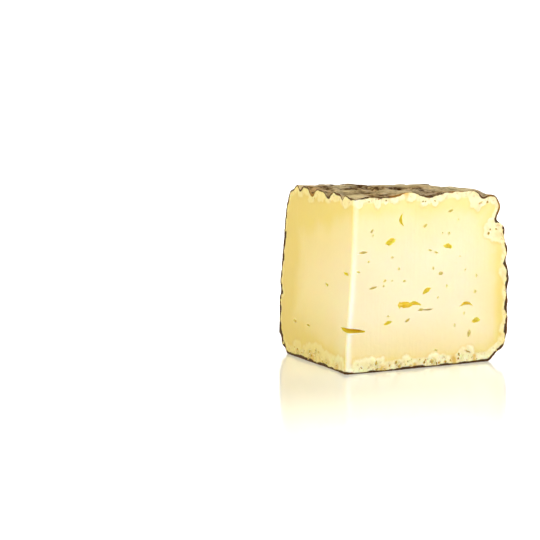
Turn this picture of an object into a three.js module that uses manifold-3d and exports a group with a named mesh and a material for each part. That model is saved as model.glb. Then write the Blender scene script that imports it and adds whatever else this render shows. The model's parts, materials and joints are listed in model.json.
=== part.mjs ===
// A wedge of tomme: one fifth of a small mountain cheese with a natural mouldy rind, standing on its base.
// The wheel is shaped whole, with its slack top edge, its belly and its lumpy rind. Two knife cuts from the
// middle then free the wedge, and the gas holes, called eyes, are opened where the knife ran through them.
// Millimetres, +Z up. The tip of the wedge points along -Y and the rind along +Y.
import * as THREE from "three";
import { mergeVertices } from "three/addons/utils/BufferGeometryUtils.js";
import Module from "manifold-3d";

// Driving dimensions
const WHEEL_RADIUS = 93; // at the belly
const WHEEL_HEIGHT = 80;
const WEDGE_ANGLE = THREE.MathUtils.degToRad(74);
const TIP_ROUND = 1.1; // the knife leaves the front edge a little soft
const CUT_LEAN = 2.3; // the knife was held off the vertical: the top of the tip lies this far to one side
const LEAN_SIDE = new THREE.Vector3(0.963, 0.269, 0);

// The rind's section, from the middle of the top round to the middle of the base
const TOP_FLAT = 0.76 * WHEEL_RADIUS; // where the top starts to fall away
const SLACK_RADIUS = 0.935 * WHEEL_RADIUS; // where the soft top edge meets the side
const SLACK_HEIGHT = 0.84 * WHEEL_HEIGHT;
const BELLY_HEIGHT = 0.33 * WHEEL_HEIGHT;
const FOOT_HEIGHT = 0.175 * WHEEL_HEIGHT; // where the side turns in to the base
const FOOT_CORNER = 0.968 * WHEEL_RADIUS;
const FOOT_FLAT = 0.83 * WHEEL_RADIUS;
const BASE_SINK = 0.9; // the soft base is pressed this far flat by the shelf
const SECTION_TO_SLACK = 0.4; // share of the section's length down to the top edge
const SECTION_TO_FOOT = 0.665;

// Relief of the rind
const BULGE_WAVELENGTH = 24;
const BULGE_HEIGHT = 0.55;
const WRINKLE_WAVELENGTH = 9.5;
const WRINKLE_HEIGHT = 0.33;
const CALM_REACH = 16; // the bulges fade this near to a cut, where the dents below shape the edge

// Fineness of the mesh
const DISC_STEPS = 66; // across the wheel, also a quarter of the steps round it
const SIDE_STEPS = 27;

const TAU = 2 * Math.PI;
const GOLDEN_RATIO = (1 + Math.sqrt(5)) / 2;
const GOLDEN_ANGLE = TAU / GOLDEN_RATIO ** 2;
const WAVES = 28;

// Headings of the two cuts round the tip, from the middle of the wedge
const RIGHT_CUT = WEDGE_ANGLE / 2;
const LEFT_CUT = -WEDGE_ANGLE / 2;
const UP = new THREE.Vector3(0, 0, 1);

// Dents of the rind: heading round the tip from the middle of the wedge, distance from the tip, height, depth
// and spread. A swelling has a negative depth. Those at the two cuts are the ones that the knife ran through.
const DENTS = [
  [RIGHT_CUT, 44, 80, 1.6, 6],
  [RIGHT_CUT, 30, 80, -1.1, 9],
  [RIGHT_CUT, 60, 80, -0.6, 6],
  [RIGHT_CUT, 76, 79, 1.9, 2.8],
  [RIGHT_CUT, 87, 73, -1.6, 3.2],
  [RIGHT_CUT, 86, 67, 2.4, 2.8],
  [RIGHT_CUT, 89, 61, -2.3, 4.2],
  [RIGHT_CUT, 91, 51, -1.3, 5],
  [RIGHT_CUT, 93, 38, -1.6, 2.2],
  [LEFT_CUT, 13, 80, 1.0, 3],
  [LEFT_CUT, 20, 80, -0.8, 4],
  [LEFT_CUT, 33, 80, 1.7, 4],
  [LEFT_CUT, 53, 80, 1.4, 4],
  [LEFT_CUT, 62, 80, -1.2, 3],
  [LEFT_CUT, 69, 80, 1.4, 2.5],
  [LEFT_CUT, 92, 30, 1.3, 3],
  [LEFT_CUT, 93, 10, -1.4, 2.5],
  [LEFT_CUT, 86, 0, 1.8, 6],
  [THREE.MathUtils.degToRad(-12), 74, 80, -1.2, 26],
  [THREE.MathUtils.degToRad(9.5), 80, 79, -1.6, 2.4],
];

// Eyes on the cut faces: distance from the tip, height, length, thickness and tilt of each, and how far it is
// bent, as the height of its middle over its ends
const RIGHT_EYES = [
  [28.0, 68.9, 5.8, 2.3, 97, 1.0],
  [21.6, 59.4, 6.0, 3.2, 18, 0],
  [55.6, 55.5, 5.8, 2.2, -8, 0.3],
  [6.1, 55.1, 5.2, 1.3, 4, 0.2],
  [41.7, 65.7, 2.9, 1.4, 25, 0],
  [56.4, 71.9, 3.5, 1.3, 12, 0],
  [10.8, 64.7, 2.3, 1.4, 40, 0],
  [55.9, 61.5, 1.7, 1.3, 0, 0],
  [45.0, 54.2, 2.5, 1.0, -10, 0],
  [48.6, 53.0, 2.7, 0.9, -15, 0],
  [23.1, 52.1, 1.9, 1.0, 0, 0],
  [9.4, 50.8, 1.6, 1.2, 0, 0],
  [27.2, 46.7, 1.9, 1.4, 0, 0],
  [47.2, 45.8, 1.5, 1.6, 0, 0],
  [51.7, 43.2, 3.0, 1.7, 0, 0],
  [73.2, 41.0, 1.4, 1.8, 0, 0],
  [3.9, 46.5, 2.5, 1.1, -15, 0],
  [19.2, 41.6, 2.3, 1.2, 20, 0],
  [18.6, 39.3, 1.5, 1.1, 0, 0],
  [30.5, 40.9, 2.3, 1.1, 0, 0],
  [12.7, 38.8, 5.0, 1.1, 12, 0],
  [43.7, 35.6, 5.5, 2.4, 26, 0.2],
  [72.7, 33.5, 2.0, 1.6, 0, 0],
  [31.3, 29.9, 8.4, 3.0, -5, 0],
  [36.9, 29.9, 8.0, 2.0, -4, 0.9],
  [43.9, 26.8, 9.2, 1.1, 0, -0.2],
  [67.8, 27.6, 7.8, 1.6, 0, 1.6],
  [66.6, 23.7, 1.4, 1.6, 0, 0],
  [73.8, 19.9, 5.4, 2.5, 8, 0.5],
  [21.7, 25.2, 1.6, 1.3, 0, 0],
  [21.8, 22.2, 5.0, 1.7, 14, 0.2],
  [33.0, 22.7, 3.1, 1.3, 25, 0],
  [61.2, 18.5, 1.5, 1.7, 0, 0],
  [69.9, 14.1, 3.6, 2.1, 80, 0],
  [50.4, 7.6, 2.2, 1.2, -25, 0],
];
const LEFT_EYES = [
  [6.0, 45.3, 6.6, 1.3, 6, 0],
  [30.0, 38.2, 4.2, 1.5, 10, 0],
  [71.2, 17.0, 3.9, 1.9, 0, 0],
  [52.8, 16.9, 5.2, 1.3, 0, 0],
];
const FINE_EYE = 3.4; // eyes longer than this get more faces
const EYE_DEPTH = 0.42; // depth of an eye into the paste, as a share of its length
const DEEPEST_EYE = 2.6;

// The long split that runs through the front edge, from one cut face to the other, and its fall to the right
const SPLIT_HEIGHT = 19.9;
const SPLIT_REACH = 9.2;
const SPLIT_THICKNESS = 2.6;
const SPLIT_FALL = 0.8;

// Pits of the crumbly paste over the rind of the base, along the foot of both cut faces
const PIT_SPACING = 4.4;
const PIT_SIZE = 1.5;
const PIT_HEIGHT = 2.6;

const wasm = await Module();
wasm.setup();

// A closed three.js geometry as a solid that can be cut and joined.
function solidOf(geometry) {
  geometry.deleteAttribute("normal");
  geometry.deleteAttribute("uv");
  const merged = mergeVertices(geometry, 1e-4);
  return new wasm.Manifold(
    new wasm.Mesh({
      numProp: 3,
      vertProperties: merged.attributes.position.array,
      triVerts: new Uint32Array(merged.index.array),
    }),
  );
}

// Moves every vertex of a geometry by a function from its old place to its new one.
function reshaped(geometry, moved) {
  const position = geometry.attributes.position;
  const point = new THREE.Vector3();
  for (let i = 0; i < position.count; i++) {
    point.fromBufferAttribute(position, i);
    const place = moved(point);
    position.setXYZ(i, place.x, place.y, place.z);
  }
  return geometry;
}

// A smooth random field of about unit strength: waves of about one length, whose headings step by the golden
// angle and whose phases never line up.
function lumpField(point, wavelength) {
  let sum = 0;
  for (let i = 0; i < WAVES; i++) {
    const turn = i * GOLDEN_ANGLE;
    const rise = 1 - (2 * (i + 0.5)) / WAVES;
    const level = Math.sqrt(1 - rise * rise);
    const along = point.x * level * Math.cos(turn) + point.y * level * Math.sin(turn) + point.z * rise;
    const length = wavelength * (0.7 + 0.6 * ((i * GOLDEN_RATIO) % 1));
    sum += Math.sin((TAU * along) / length + i * i);
  }
  return sum * Math.sqrt(2 / WAVES);
}

// The cuts lean, so the tip wanders sideways with height.
function lean(height) {
  return CUT_LEAN * (height / WHEEL_HEIGHT - 0.5);
}

// A level direction away from the tip.
function direction(heading) {
  return new THREE.Vector3(Math.sin(heading), Math.cos(heading), 0);
}

// A place in the wheel, from its heading, its distance to the tip and its height.
function placeAt(heading, fromTip, height) {
  return new THREE.Vector3(0, 0, height)
    .addScaledVector(direction(heading), fromTip)
    .addScaledVector(LEAN_SIDE, lean(height));
}

// Half of the wheel's section: x is the radius and y the height.
function rindSection() {
  const section = new THREE.Path();
  section.moveTo(0, WHEEL_HEIGHT);
  section.lineTo(TOP_FLAT, WHEEL_HEIGHT);
  section.quadraticCurveTo(SLACK_RADIUS, WHEEL_HEIGHT, SLACK_RADIUS, SLACK_HEIGHT);
  section.quadraticCurveTo(WHEEL_RADIUS, 0.5 * WHEEL_HEIGHT, WHEEL_RADIUS, BELLY_HEIGHT);
  section.lineTo(WHEEL_RADIUS, FOOT_HEIGHT);
  section.quadraticCurveTo(FOOT_CORNER, 0, FOOT_FLAT, -BASE_SINK);
  section.lineTo(0, -BASE_SINK);
  return section;
}

// The relief of the rind at a place on the wheel, outwards.
function relief(place) {
  const distances = [LEFT_CUT, RIGHT_CUT].map((cut) => place.x * Math.cos(cut) - place.y * Math.sin(cut));
  const toCut = Math.min(...distances.map(Math.abs));
  const freedom = 1 - Math.exp(-((toCut / CALM_REACH) ** 2));
  let lift = freedom * BULGE_HEIGHT * lumpField(place, BULGE_WAVELENGTH);
  lift += WRINKLE_HEIGHT * lumpField(place, WRINKLE_WAVELENGTH);
  for (const [heading, fromTip, height, depth, spread] of DENTS) {
    const away = place.distanceTo(placeAt(heading, fromTip, height)) / spread;
    lift -= depth * Math.exp(-away * away);
  }
  return lift;
}

// The share of the section's length at which a corner of the box's mesh lies.
function sectionShare(reach, z) {
  if (z > 0.999) return SECTION_TO_SLACK * reach;
  if (z < -0.999) return 1 - (1 - SECTION_TO_FOOT) * reach;
  return SECTION_TO_SLACK + (SECTION_TO_FOOT - SECTION_TO_SLACK) * (1 - z) * 0.5;
}

// The whole wheel: a box whose square top and base are drawn into discs and whose sides become the rind.
function wheel() {
  const section = rindSection();
  const box = new THREE.BoxGeometry(2, 2, 2, DISC_STEPS, DISC_STEPS, SIDE_STEPS);
  return reshaped(box, ({ x, y, z }) => {
    const reach = Math.max(Math.abs(x), Math.abs(y));
    const squint = (TAU / 8) * (Math.min(Math.abs(x), Math.abs(y)) / Math.max(reach, 1e-9));
    const turn = Math.abs(x) > Math.abs(y) ? squint : TAU / 4 - squint;
    const radial = new THREE.Vector3(Math.sign(x) * Math.cos(turn), Math.sign(y) * Math.sin(turn), 0);
    const share = sectionShare(reach, z);
    const flat = section.getPointAt(share);
    const heading = section.getTangentAt(share);
    const outwards = radial.clone().multiplyScalar(-heading.y).addScaledVector(UP, heading.x);
    const place = radial.multiplyScalar(flat.x).addScaledVector(UP, flat.y);
    return place.addScaledVector(outwards, relief(place));
  });
}

// The room between the two knife cuts, with the softened front edge and the level shelf under it.
function knifeRoom() {
  const reach = 1.4 * WHEEL_RADIUS;
  const plan = new THREE.Shape();
  plan.absarc(0, TIP_ROUND / Math.sin(RIGHT_CUT), TIP_ROUND, -Math.PI - LEFT_CUT, -RIGHT_CUT, false);
  for (const cut of [RIGHT_CUT, LEFT_CUT]) plan.lineTo(reach * Math.sin(cut), reach * Math.cos(cut));
  plan.closePath();
  const room = new THREE.ExtrudeGeometry(plan, {
    depth: 1.3 * WHEEL_HEIGHT,
    bevelEnabled: false,
    curveSegments: 4,
  });
  return reshaped(room, (corner) => corner.clone().addScaledVector(LEAN_SIDE, lean(corner.z)));
}

// One eye, a flattened and bent bubble whose middle lies on the cut face.
function eye(cut, [fromTip, height, length, thickness, tilt, bend]) {
  const fine = length > FINE_EYE;
  const bubble = fine ? new THREE.SphereGeometry(1, 10, 6) : new THREE.IcosahedronGeometry(1, 0);
  const depth = Math.min(DEEPEST_EYE, EYE_DEPTH * length);
  const turn = THREE.MathUtils.degToRad(tilt);
  const middle = placeAt(cut, fromTip, height);
  const along = direction(cut);
  const through = UP.clone().cross(along);
  return reshaped(bubble, ({ x, y, z }) => {
    const crown = bend * (0.5 - x * x);
    const flat = new THREE.Vector2((x * length) / 2, (z * thickness) / 2 + crown);
    flat.rotateAround(new THREE.Vector2(), turn);
    return middle
      .clone()
      .addScaledVector(along, flat.x)
      .addScaledVector(UP, flat.y)
      .addScaledVector(through, y * depth);
  });
}

// The split through the front edge: a thin lens that opens on both faces.
function edgeSplit() {
  const lens = new THREE.SphereGeometry(1, 16, 6);
  const middle = placeAt(RIGHT_CUT, 0, SPLIT_HEIGHT);
  const along = direction(RIGHT_CUT);
  const through = UP.clone().cross(along);
  return reshaped(lens, ({ x, y, z }) =>
    middle
      .clone()
      .addScaledVector(along, x * SPLIT_REACH)
      .addScaledVector(through, y * SPLIT_REACH)
      .addScaledVector(UP, (z * SPLIT_THICKNESS) / 2 + (y - x) * SPLIT_FALL),
  );
}

// The pits of the foot: small eyes at an even spacing, each shifted by a share of it that never repeats.
function rindPits() {
  const rows = [];
  for (let fromTip = 5, i = 0; fromTip < FOOT_FLAT; fromTip += PIT_SPACING, i++) {
    const jog = (i * GOLDEN_RATIO) % 1;
    const size = PIT_SIZE * (0.7 + 0.6 * jog);
    rows.push([fromTip + 2 * jog, PIT_HEIGHT + 1.6 * (jog - 0.5), size, 0.8 * size, 180 * jog, 0]);
  }
  return rows;
}

const hollows = [
  edgeSplit(),
  ...[...RIGHT_EYES, ...rindPits()].map((row) => eye(RIGHT_CUT, row)),
  ...[...LEFT_EYES, ...rindPits()].map((row) => eye(LEFT_CUT, row)),
];
const wedge = solidOf(wheel())
  .intersect(solidOf(knifeRoom()))
  .subtract(wasm.Manifold.union(hollows.map(solidOf)));

// The solid's own box, centred over the origin, with the base on the level of the table.
const { vertProperties, triVerts } = wedge.getMesh();
const body = new THREE.BufferGeometry();
body.setAttribute("position", new THREE.BufferAttribute(vertProperties, 3));
body.setIndex(new THREE.BufferAttribute(triVerts, 1));
body.computeBoundingBox();
const middle = body.boundingBox.getCenter(new THREE.Vector3());
body.translate(-middle.x, -middle.y, 0);
body.computeVertexNormals();

const paste = new THREE.MeshStandardMaterial({ color: 0xf6e4a0, roughness: 0.55, metalness: 0 });
const tomme = new THREE.Mesh(body, paste);
tomme.name = "tomme_wedge";

const cheese = new THREE.Group();
cheese.add(tomme);
export default cheese;
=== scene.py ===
import json
import math
import random
from collections import Counter

import bpy
import numpy as np
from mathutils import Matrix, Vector, noise
from mathutils.bvhtree import BVHTree

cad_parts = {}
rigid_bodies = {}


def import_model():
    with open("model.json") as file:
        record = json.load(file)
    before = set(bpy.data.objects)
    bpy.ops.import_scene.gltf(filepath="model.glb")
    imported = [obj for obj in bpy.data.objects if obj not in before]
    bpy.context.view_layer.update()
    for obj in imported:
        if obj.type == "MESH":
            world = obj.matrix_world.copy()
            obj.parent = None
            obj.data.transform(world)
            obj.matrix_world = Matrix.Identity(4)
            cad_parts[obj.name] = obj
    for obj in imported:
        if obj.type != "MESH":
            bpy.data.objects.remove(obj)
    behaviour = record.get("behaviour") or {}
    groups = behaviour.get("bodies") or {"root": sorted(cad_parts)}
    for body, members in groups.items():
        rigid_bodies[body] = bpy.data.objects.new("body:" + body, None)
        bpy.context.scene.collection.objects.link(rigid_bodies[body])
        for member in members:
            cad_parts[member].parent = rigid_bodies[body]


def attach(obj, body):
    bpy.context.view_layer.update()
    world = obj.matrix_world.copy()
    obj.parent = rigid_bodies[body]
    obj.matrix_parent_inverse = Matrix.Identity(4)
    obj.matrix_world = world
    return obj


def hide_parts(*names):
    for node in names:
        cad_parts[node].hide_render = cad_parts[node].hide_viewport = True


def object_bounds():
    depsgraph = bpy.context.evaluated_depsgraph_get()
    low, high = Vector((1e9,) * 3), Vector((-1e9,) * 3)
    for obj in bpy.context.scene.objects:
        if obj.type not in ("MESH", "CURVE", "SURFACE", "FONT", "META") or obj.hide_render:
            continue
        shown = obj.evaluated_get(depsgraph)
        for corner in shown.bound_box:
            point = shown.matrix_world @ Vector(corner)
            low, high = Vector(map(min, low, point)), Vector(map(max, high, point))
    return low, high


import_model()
cad_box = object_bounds()

# The wheel
# A tomme is a low wheel of pressed curd. It ripens on a wooden shelf until its top edge slackens and its side
# bellies out. The section is drawn from the middle of the top round to the middle of the base and spun, and
# the wheel gets an even mesh, fine enough for the wrinkles of its rind.
MM = 0.001
UP = Vector((0, 0, 1))
WHEEL_RADIUS = 93 * MM
WHEEL_HEIGHT = 80 * MM
TOP_FLAT = 0.76 * WHEEL_RADIUS
SLACK_RADIUS = 0.935 * WHEEL_RADIUS
SLACK_HEIGHT = 0.84 * WHEEL_HEIGHT
SIDE_BEND = 0.5 * WHEEL_HEIGHT
BELLY_HEIGHT = 0.33 * WHEEL_HEIGHT
FOOT_HEIGHT = 0.175 * WHEEL_HEIGHT
FOOT_CORNER = 0.968 * WHEEL_RADIUS
FOOT_FLAT = 0.83 * WHEEL_RADIUS
BASE_SINK = 0.9 * MM
SECTION_STEP = 1.5 * MM
SPIN_STEPS = 300
MERGE_REACH = 0.05 * MM
RIND_MESH = 0.68 * MM


def stretch(start, end, control=None):
    """Points along a straight or bent stretch of the section, as (radius, height), without the first."""
    start, end = Vector(start), Vector(end)
    control = (start + end) / 2 if control is None else Vector(control)
    count = math.ceil((end - start).length / SECTION_STEP)
    shares = [(i + 1) / count for i in range(count)]
    return [(1 - t) ** 2 * start + 2 * t * (1 - t) * control + t * t * end for t in shares]


top_middle = (0, WHEEL_HEIGHT)
top_end = (TOP_FLAT, WHEEL_HEIGHT)
slack = (SLACK_RADIUS, SLACK_HEIGHT)
belly = (WHEEL_RADIUS, BELLY_HEIGHT)
foot = (WHEEL_RADIUS, FOOT_HEIGHT)
base_end = (FOOT_FLAT, -BASE_SINK)
section = [Vector(top_middle)]
section += stretch(top_middle, top_end)
section += stretch(top_end, slack, control=(SLACK_RADIUS, WHEEL_HEIGHT))
section += stretch(slack, belly, control=(WHEEL_RADIUS, SIDE_BEND))
section += stretch(belly, foot)
section += stretch(foot, base_end, control=(FOOT_CORNER, 0))
section += stretch(base_end, (0, -BASE_SINK))

bpy.ops.object.select_all(action="DESELECT")
bpy.ops.mesh.primitive_plane_add(size=1, enter_editmode=True)
bpy.ops.mesh.merge(type="CENTER")
bpy.ops.transform.translate(value=(0, 0, WHEEL_HEIGHT))
for here, there in zip(section, section[1:]):
    step = there - here
    bpy.ops.mesh.extrude_vertices_move(TRANSFORM_OT_translate={"value": (step.x, 0, step.y)})
bpy.ops.mesh.select_all(action="SELECT")
bpy.ops.mesh.spin(steps=SPIN_STEPS, angle=math.tau, center=(0, 0, 0), axis=UP)
bpy.ops.mesh.select_all(action="SELECT")
bpy.ops.mesh.remove_doubles(threshold=MERGE_REACH)
bpy.ops.mesh.normals_make_consistent(inside=False)
bpy.ops.object.mode_set(mode="OBJECT")
tomme = bpy.context.object
tomme.name = "tomme"
even_mesh = tomme.modifiers.new("even mesh", "REMESH")
even_mesh.mode = "VOXEL"
even_mesh.voxel_size = RIND_MESH
bpy.ops.object.modifier_apply(modifier=even_mesh.name)

# The rind
# The rind is the wheel's own skin of dried curd and grey mould. It bulges over the curd, takes the dents of
# hands and shelves, and wrinkles as it dries. Only the wedge's part, and a little more, gets the fine folds.
WEDGE_ANGLE = math.radians(74)
RIGHT_CUT = WEDGE_ANGLE / 2
LEFT_CUT = -WEDGE_ANGLE / 2
CUT_LEAN = 2.3 * MM
LEAN_SIDE = Vector((0.963, 0.269, 0))
WORKED_MARGIN = 6 * MM
BULGE_WAVELENGTH = 24 * MM
BULGE_HEIGHT = 0.55 * MM
WRINKLE_WAVELENGTH = 9.5 * MM
WRINKLE_HEIGHT = 0.33 * MM
CALM_REACH = 16 * MM
WAVES = 28
SHORTEST_WAVE = 0.7
WAVE_SPREAD = 0.6
GOLDEN_RATIO = (1 + math.sqrt(5)) / 2
# The heading of each dent, and its distance from the tip, height, depth and spread in millimetres. A swelling
# has a negative depth. One that spreads less than LUMP_SPREAD is a dark crumb of rind.
DENTS = [
    (RIGHT_CUT, 43, 80, 1.3, 6),
    (RIGHT_CUT, 32, 80, -1.3, 9),
    (RIGHT_CUT, 60, 80, -0.6, 6),
    (RIGHT_CUT, 76, 79, 1.9, 2.8),
    (RIGHT_CUT, 87, 73, -1.6, 3.2),
    (RIGHT_CUT, 86, 67, 2.4, 2.8),
    (RIGHT_CUT, 89, 61, -2.3, 4.2),
    (RIGHT_CUT, 91, 51, -1.3, 5),
    (RIGHT_CUT, 93, 38, -1.6, 2.2),
    (RIGHT_CUT, 86, 1, 1.0, 5),
    (LEFT_CUT, 9.5, 80, -0.7, 3.2),
    (LEFT_CUT, 13.8, 80, 1.5, 1.6),
    (LEFT_CUT, 18.5, 80, -1.0, 3),
    (LEFT_CUT, 25, 80, -1.0, 4.5),
    (LEFT_CUT, 33, 80, 1.3, 3.2),
    (LEFT_CUT, 40.5, 80, -0.6, 3),
    (LEFT_CUT, 46, 80, -0.6, 4),
    (LEFT_CUT, 53, 80, 2.0, 3.5),
    (LEFT_CUT, 60, 80, -1.0, 3),
    (LEFT_CUT, 64.5, 80, -1.2, 3),
    (LEFT_CUT, 69, 80, 1.2, 2.2),
    (LEFT_CUT, 73.5, 79.5, -1.1, 2.8),
    (LEFT_CUT, 92, 30, 1.3, 3),
    (LEFT_CUT, 93, 10, -1.4, 2.5),
    (LEFT_CUT, 86, 0, 1.8, 6),
    (math.radians(-12), 74, 80, -1.5, 26),
    (math.radians(9.5), 80, 79, -1.6, 2.4),
    (math.radians(10), 74, 80, -1.7, 22),
    (RIGHT_CUT, 92, 46, -0.5, 9),
]
LUMP_SPREAD = 2.6
# How far apart the folds, creases, pinholes and patches of bloom lie, and how deep, dark or wide they are.
RIND_LIFT = 0.35 * MM
FOLD_SPACING = 9 * MM
FOLD_HEIGHT = 0.95 * MM
FOLD_STRETCH = Vector((0.5, 1, 0.6))
FOLD_CALM = 6 * MM
FOLD_LOSS = 0.7
FOLD_SHADE = 0.22
FOLD_SHADE_FROM = 0.05
FOLD_SHADE_FULL = 0.4
LONG_CREASE_SPACING = 12 * MM
LONG_CREASE_DEPTH = 0.7 * MM
LONG_CREASE_SHARE = 0.2
LONG_CREASE_DARK = 0.8
CREASE_SPACING = 4.6 * MM
CREASE_DEPTH = 0.55 * MM
CREASE_DARK = 0.7
FINE_CREASE_SPACING = 2.2 * MM
FINE_CREASE_DEPTH = 0.2 * MM
FINE_CREASE_DARK = 0.4
CREASE_SHARE = 0.2
CREASE_SHARPNESS = 1.5
CREASE_WARP = 0.8
WARP_SPACING = 2.5
PINHOLE_SPACING = 6.5 * MM
PINHOLE_RADIUS = 1.1 * MM
PINHOLE_DEPTH = 0.55 * MM
SMALLEST_PINHOLE = 0.35
PINHOLE_SEED = 7.3
BLOOM_SPACING = 21 * MM
BLOOM_OFFSET = Vector((7.3, 2.1, 5.6))
BLOOM_FROM = 0.12
BLOOM_FULL = 0.5
BLOOM_FILLS = 0.75
MOST_BLOOM = 0.55
PRESSED_SHARE = 0.3
# Noise vectors start from the clock unless a seed is set, and the rind would come out new in each run.
NOISE_SEED = 2


def heading_vector(heading):
    """The level direction away from the tip, for a heading from the middle of the wedge."""
    return Vector((math.sin(heading), math.cos(heading), 0))


def out_of_cut(heading):
    """The level direction out of the wedge, square to a cut."""
    side = math.copysign(1, heading)
    return Vector((side * math.cos(heading), -side * math.sin(heading), 0))


def lean(height):
    """How far the tip has wandered sideways at a height, because the knife was held off the vertical."""
    return CUT_LEAN * (height / WHEEL_HEIGHT - 0.5)


def place_at(heading, from_tip, height):
    """A place in the wheel, from its heading, its distance to the tip and its height."""
    return from_tip * heading_vector(heading) + lean(height) * LEAN_SIDE + height * UP


def lump_field(places, wavelength):
    """A smooth random field of about unit strength, of waves whose headings step by the golden angle."""
    wave = np.arange(WAVES)
    turn = wave * math.tau / GOLDEN_RATIO**2
    rise = 1 - 2 * (wave + 0.5) / WAVES
    level = np.sqrt(1 - rise**2)
    headings = np.stack([level * np.cos(turn), level * np.sin(turn), rise])
    lengths = wavelength * (SHORTEST_WAVE + WAVE_SPREAD * (wave * GOLDEN_RATIO % 1))
    return np.sin(places @ headings * math.tau / lengths + wave**2).sum(1) * math.sqrt(2 / WAVES)


def ease(low, high, value):
    """Rises softly from 0 at low to 1 at high."""
    share = min(max((value - low) / (high - low), 0), 1)
    return share * share * (3 - 2 * share)


def crease(place, spacing, share=CREASE_SHARE):
    """How far down in a crease a place lies: 1 at its bottom, 0 between the creases."""
    warp = CREASE_WARP * noise.noise_vector(place / (WARP_SPACING * spacing))
    return max(0, 1 - abs(noise.noise(place / spacing + warp)) / share) ** CREASE_SHARPNESS


def pinhole(place):
    """How far down in a pinhole of the rind a place lies: 1 at its bottom, 0 outside."""
    distances, middles = noise.voronoi(place / PINHOLE_SPACING)
    size = SMALLEST_PINHOLE + (1 - SMALLEST_PINHOLE) * abs(noise.noise(middles[0] * PINHOLE_SEED))
    return ease(0, 1, 1 - distances[0] * PINHOLE_SPACING / (PINHOLE_RADIUS * size))


def vertex_places(mesh):
    """The places of all vertices of a mesh, one row each."""
    rows = np.empty((len(mesh.vertices), 3))
    mesh.vertices.foreach_get("co", rows.ravel())
    return rows


def add_values(mesh, name, values):
    """Keeps one number for each vertex with a mesh, for its materials."""
    mesh.attributes.new(name, "FLOAT", "POINT").data.foreach_set("value", values)


places = vertex_places(tomme.data)
outwards = np.empty_like(places)
tomme.data.vertex_normals.foreach_get("vector", outwards.ravel())
beyond_cuts = np.stack([places @ np.array(out_of_cut(cut)) for cut in (RIGHT_CUT, LEFT_CUT)])
worked = beyond_cuts.max(0) < WORKED_MARGIN
from_cuts = np.abs(beyond_cuts).min(0)
calm = np.exp(-((from_cuts / CALM_REACH) ** 2))
rough_share = 1 - FOLD_LOSS * np.exp(-((from_cuts / FOLD_CALM) ** 2))
relief = (1 - calm) * BULGE_HEIGHT * lump_field(places, BULGE_WAVELENGTH)
relief += WRINKLE_HEIGHT * lump_field(places, WRINKLE_WAVELENGTH)
lumpy = np.zeros(len(places))
for heading, from_tip, height, depth, spread in DENTS:
    away = np.linalg.norm(places - np.array(place_at(heading, from_tip * MM, height * MM)), axis=1)
    reach = np.exp(-((away / (spread * MM)) ** 2))
    relief -= depth * MM * reach
    if depth < 0 and spread < LUMP_SPREAD:
        lumpy = np.maximum(lumpy, np.sqrt(reach))

noise.seed_set(NOISE_SEED)
creased_and_shaded, bloomed, fine_relief = np.zeros((3, len(places)))
for i in np.flatnonzero(worked):
    place = Vector(places[i])
    bloom = ease(BLOOM_FROM, BLOOM_FULL, noise.noise(place / BLOOM_SPACING + BLOOM_OFFSET))
    unbloomed = 1 - BLOOM_FILLS * bloom
    sunk = unbloomed * crease(place, CREASE_SPACING)
    fine = unbloomed * crease(place, FINE_CREASE_SPACING)
    hole = pinhole(place)
    along_folds = place * FOLD_STRETCH
    fold = noise.noise(along_folds / FOLD_SPACING)
    valley = unbloomed * crease(along_folds, LONG_CREASE_SPACING, LONG_CREASE_SHARE)
    fine_relief[i] = RIND_LIFT + FOLD_HEIGHT * fold - LONG_CREASE_DEPTH * valley
    fine_relief[i] -= CREASE_DEPTH * sunk + FINE_CREASE_DEPTH * fine + PINHOLE_DEPTH * hole
    fine_relief[i] *= rough_share[i]
    # Painted shade on the low side of the folds, added to the dark of the creases and pinholes.
    shadow = FOLD_SHADE * ease(FOLD_SHADE_FROM, FOLD_SHADE_FULL, -fold)
    dark = CREASE_DARK * sunk + FINE_CREASE_DARK * fine + hole + LONG_CREASE_DARK * valley
    creased_and_shaded[i] = min(1, dark + shadow + lumpy[i])
    bloomed[i] = MOST_BLOOM * bloom
places += outwards * (relief + fine_relief)[:, None]
# The shelf presses the base flat and leaves only a little of its creases.
places[:, 2] = np.maximum(places[:, 2], PRESSED_SHARE * np.maximum(0, RIND_LIFT - fine_relief))
tomme.data.vertices.foreach_set("co", places.ravel())
add_values(tomme.data, "creased_and_shaded", creased_and_shaded)
add_values(tomme.data, "bloomed", bloomed)
tomme.data.update()
near_faces = [list(face.vertices) for face in tomme.data.polygons if worked[face.vertices[0]]]
rind_tree = BVHTree.FromPolygons(places.tolist(), near_faces)


def under_rind(place):
    """How far a place lies from the nearest rind."""
    return rind_tree.find_nearest(place)[3]


def linear(hex_colour):
    """A colour given as sRGB hex, as the linear values that a shader takes."""
    parts = [int(hex_colour[i : i + 2], 16) / 255 for i in (1, 3, 5)]
    return [part / 12.92 if part <= 0.04045 else ((part + 0.055) / 1.055) ** 2.4 for part in parts] + [1]


def empty_material(name):
    """A material with no nodes yet, and its node tree."""
    material = bpy.data.materials.new(name)
    material.use_nodes = True
    material.node_tree.nodes.clear()
    return material, material.node_tree


def add(tree, kind, links=None, **settings):
    """Adds a shader node, sets it, and gives its sockets values or links. Returns its first live output."""
    node = tree.nodes.new("ShaderNode" + kind)
    for name, value in settings.items():
        setattr(node, name, value)
    for socket, value in (links or {}).items():
        if isinstance(value, bpy.types.NodeSocket):
            tree.links.new(value, node.inputs[socket])
        else:
            node.inputs[socket].default_value = value
    return next((output for output in node.outputs if output.enabled), None)
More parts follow.
